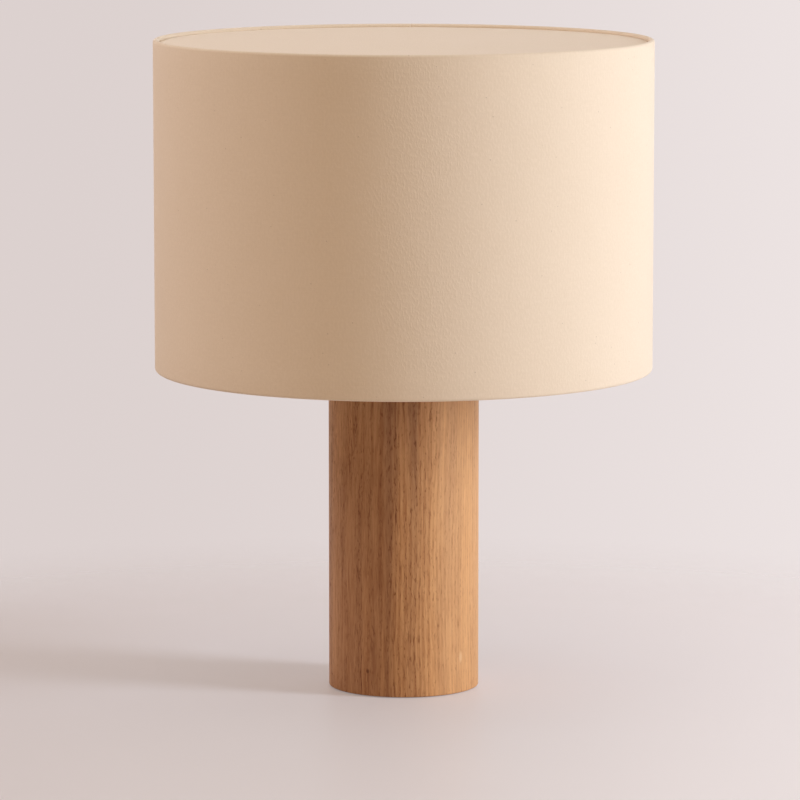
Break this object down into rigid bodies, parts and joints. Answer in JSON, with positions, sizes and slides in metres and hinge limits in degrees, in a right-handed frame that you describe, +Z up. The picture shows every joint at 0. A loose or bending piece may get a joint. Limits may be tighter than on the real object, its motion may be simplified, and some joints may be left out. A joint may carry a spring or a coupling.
{
  "type": "table lamp",
  "caption": "Table lamp with a turned cylindrical wooden column and a wide straight fabric drum shade, closed on top by a recessed fabric diffuser.",
  "frame": {"origin": "on the floor under the column's axis, at the underside of the felt", "axes": "+Z up along the column; -Y to the front, as pictured; +Y to the back, where the lead leaves"},
  "size_m": [0.4, 0.4004, 0.5235],
  "materials": {
    "felt": "pressed felt",
    "oak": "turned and oiled",
    "board": "raw hardboard",
    "steel": "zinc plated",
    "iron": "as cast",
    "brass": "satin",
    "contact_brass": "stamped",
    "bush_plastic": "moulded",
    "holder_plastic": "moulded",
    "insert_plastic": "unglazed",
    "bar_plastic": "moulded",
    "fibre": "pressed fibre",
    "white_metal": "powder coated",
    "liner": "laminated sheet",
    "shade_fabric": "crinkled cotton",
    "opal": "opal sheet",
    "solder": "solder pip",
    "insulator": "glazed",
    "bulb_metal": "nickel plated",
    "bulb_white": "moulded",
    "bulb_opal": "opal"
  },
  "bodies": {
    "stand": {"felt_pad": "felt", "oak_column": "oak", "base_cover": "board", "cover_screws": "steel", "ballast_weight": "iron", "clamp_washer": "steel", "clamp_nut": "steel", "threaded_tube": "steel", "cord_bush": "bush_plastic", "column_cap": "brass", "lock_nut": "brass", "lampholder_cap": "holder_plastic", "cap_lock_screw": "steel", "lampholder_insert": "insert_plastic", "centre_contact": "contact_brass", "side_contact": "contact_brass", "terminal_screws": "contact_brass", "lampholder_skirt": "holder_plastic"},
    "switch": {"switch_bar": "bar_plastic"},
    "ring_lift": {"ring_washer": "fibre"},
    "ring": {"shade_ring": "holder_plastic"},
    "bulb_lift": {"bulb_contact": "solder"},
    "bulb": {"bulb_insulator": "insulator", "bulb_cap": "bulb_metal", "bulb_housing": "bulb_white", "bulb_dome": "bulb_opal"},
    "shade": {"fitter_ring": "white_metal", "spider_spokes": "white_metal", "bottom_ring": "white_metal", "top_ring": "white_metal", "diffuser_lugs": "white_metal", "shade_liner": "liner", "shade_cover": "shade_fabric"},
    "diffuser": {"diffuser_panel": "opal", "diffuser_fabric": "shade_fabric"}
  },
  "joints": [
    {"name": "switch_press", "type": "slide", "parent": "stand", "child": "switch", "axis": [1, 0, 0], "range_m": [0, 0.007]},
    {"name": "ring_rise", "type": "slide", "parent": "stand", "child": "ring_lift", "axis": [0, 0, 1], "range_m": [0, 0.0075]},
    {"name": "ring_turn", "type": "hinge", "parent": "ring_lift", "child": "ring", "pos_m": [0, 0, 0.3045], "axis": [0, 0, 1], "range_deg": [0, 1080]},
    {"name": "bulb_rise", "type": "slide", "parent": "stand", "child": "bulb_lift", "axis": [0, 0, 1], "range_m": [0, 0.0254]},
    {"name": "bulb_turn", "type": "hinge", "parent": "bulb_lift", "child": "bulb", "pos_m": [0, 0, 0.316], "axis": [0, 0, 1], "range_deg": [0, 2520]},
    {"name": "shade_turn", "type": "hinge", "parent": "stand", "child": "shade", "pos_m": [0, 0, 0.298], "axis": [0, 0, 1], "continuous": true},
    {"name": "diffuser_lift", "type": "slide", "parent": "shade", "child": "diffuser", "axis": [0, 0, 1], "range_m": [0, 0.05]}
  ],
  "couplings": [
    {"joint": "ring_rise", "follows": "ring_turn", "m_per_rad": 0.00039788},
    {"joint": "bulb_rise", "follows": "bulb_turn", "m_per_rad": 0.00057757}
  ]
}
